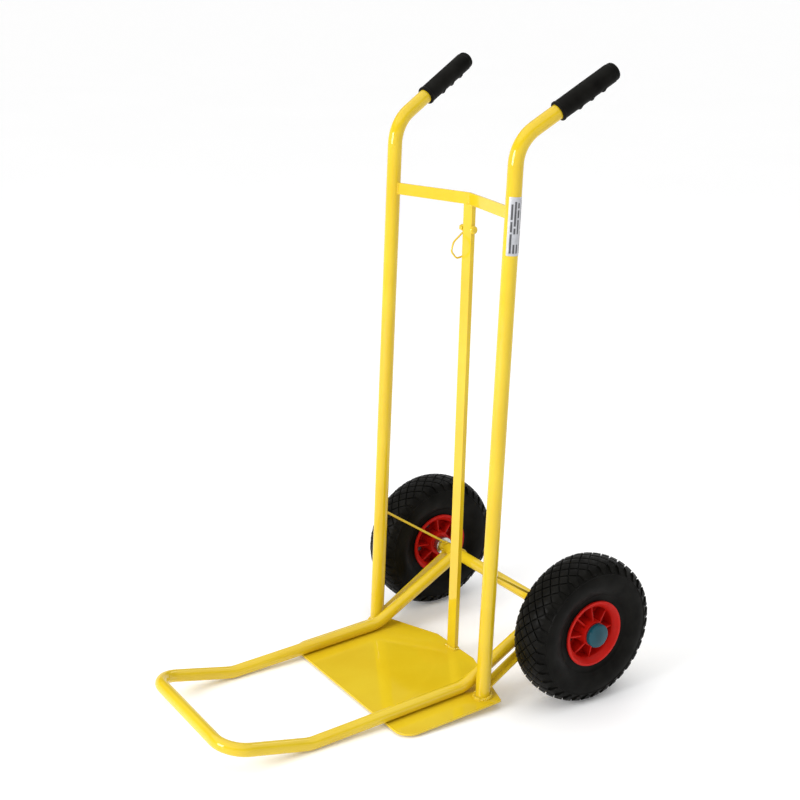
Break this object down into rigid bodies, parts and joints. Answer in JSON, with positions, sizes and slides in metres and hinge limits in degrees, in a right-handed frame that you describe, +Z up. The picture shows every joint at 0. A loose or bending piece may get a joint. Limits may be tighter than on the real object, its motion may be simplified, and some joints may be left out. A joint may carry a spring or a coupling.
{
  "type": "hand truck",
  "caption": "Steel-tube hand truck with a toe plate, a fold-up nose frame held by a wire hook, rubber grips and pneumatic wheels on a fixed axle.",
  "frame": {"origin": "on the floor under the middle of the whole truck's outline, nose frame folded down", "axes": "+Z up, -Y to the front where the load stands, +X to the left of a person behind the handles, along the axle"},
  "size_m": [0.5546, 0.772, 1.0658],
  "materials": {
    "yellow_paint": "glossy powder coat over steel",
    "black_steel": "blackened, satin",
    "zinc_steel": "zinc plated, satin",
    "red_plastic": "moulded plastic, semi-gloss",
    "tyre_rubber": "block tread, matte",
    "grip_rubber": "ribbed, satin",
    "valve_rubber": "matte",
    "teal_plastic": "moulded plastic, semi-gloss",
    "label_film": "blank satin film"
  },
  "bodies": {
    "frame": {"axle": "zinc_steel", "axle_cap_left": "teal_plastic", "axle_cap_right": "teal_plastic", "axle_spacer_left": "zinc_steel", "axle_spacer_right": "zinc_steel", "axle_tube": "yellow_paint", "axle_washer_left": "zinc_steel", "axle_washer_right": "zinc_steel", "centre_strut": "yellow_paint", "crossbar": "yellow_paint", "grip_left": "grip_rubber", "grip_right": "grip_rubber", "label": "label_film", "latch_bolt": "yellow_paint", "latch_nut": "yellow_paint", "side_strut_left": "yellow_paint", "side_strut_right": "yellow_paint", "stay_left": "yellow_paint", "stay_right": "yellow_paint", "toe_plate": "yellow_paint", "upright_left": "yellow_paint", "upright_right": "yellow_paint"},
    "nose_frame": {"nose_loop": "yellow_paint", "pivot_sleeve_left": "yellow_paint", "pivot_sleeve_right": "yellow_paint"},
    "left_wheel": {"tyre_left": "tyre_rubber", "inner_tube_left": "valve_rubber", "rim_outer_left": "red_plastic", "rim_inner_left": "red_plastic", "bearing_outer_left": "zinc_steel", "bearing_inner_left": "zinc_steel", "rim_screws_left": "black_steel", "rim_nuts_left": "black_steel", "valve_stem_left": "valve_rubber", "valve_cap_left": "valve_rubber"},
    "right_wheel": {"tyre_right": "tyre_rubber", "inner_tube_right": "valve_rubber", "rim_outer_right": "red_plastic", "rim_inner_right": "red_plastic", "bearing_outer_right": "zinc_steel", "bearing_inner_right": "zinc_steel", "rim_screws_right": "black_steel", "rim_nuts_right": "black_steel", "valve_stem_right": "valve_rubber", "valve_cap_right": "valve_rubber"},
    "latch": {"latch_hook": "yellow_paint"}
  },
  "joints": [
    {"name": "nose_fold", "type": "hinge", "parent": "frame", "child": "nose_frame", "pos_m": [0, 0.25605, 0.13], "axis": [-1, 0, 0], "range_deg": [0, 84]},
    {"name": "left_wheel_spin", "type": "hinge", "parent": "frame", "child": "left_wheel", "pos_m": [0.23, 0.25605, 0.13], "axis": [1, 0, 0], "continuous": true},
    {"name": "right_wheel_spin", "type": "hinge", "parent": "frame", "child": "right_wheel", "pos_m": [-0.23, 0.25605, 0.13], "axis": [1, 0, 0], "continuous": true},
    {"name": "latch_swing", "type": "hinge", "parent": "frame", "child": "latch", "pos_m": [-0.0139, 0.1631, 0.789], "axis": [-1, 0, 0], "range_deg": [0, 110]}
  ]
}
